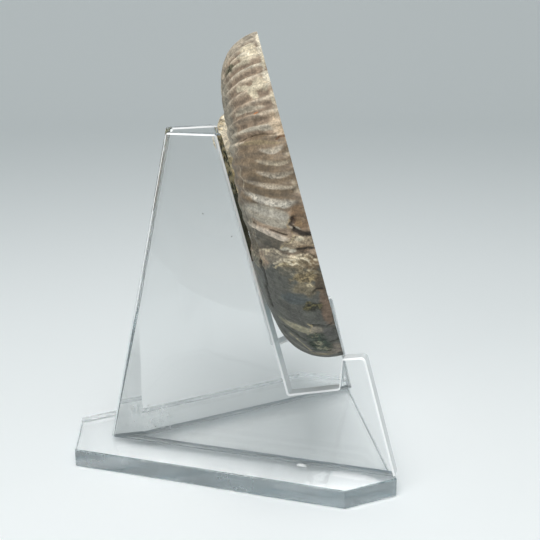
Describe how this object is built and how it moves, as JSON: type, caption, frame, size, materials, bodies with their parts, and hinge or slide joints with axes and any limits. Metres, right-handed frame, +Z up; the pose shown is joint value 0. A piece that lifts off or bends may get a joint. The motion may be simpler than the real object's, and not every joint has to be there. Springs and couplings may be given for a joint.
{
  "type": "ammonite fossil on stand",
  "caption": "Sawn half of a ribbed ammonite, leaning back in a clear acrylic stand of notched uprights set in a V on a base plate.",
  "frame": {"origin": "centre of the base plate's underside, on the surface the stand rests on", "axes": "+Z up, +X to the front of the stand, where the sawn face looks, +Y to its right upright's side"},
  "size_m": [0.1036, 0.1187, 0.141],
  "materials": {
    "acrylic": "clear, polished faces and sawn edges",
    "fossil": "weathered ribbed shell with a polished sawn face"
  },
  "bodies": {
    "root": {"base_plate": "acrylic", "left_upright": "acrylic", "right_upright": "acrylic", "ammonite": "fossil"}
  },
  "joints": []
}
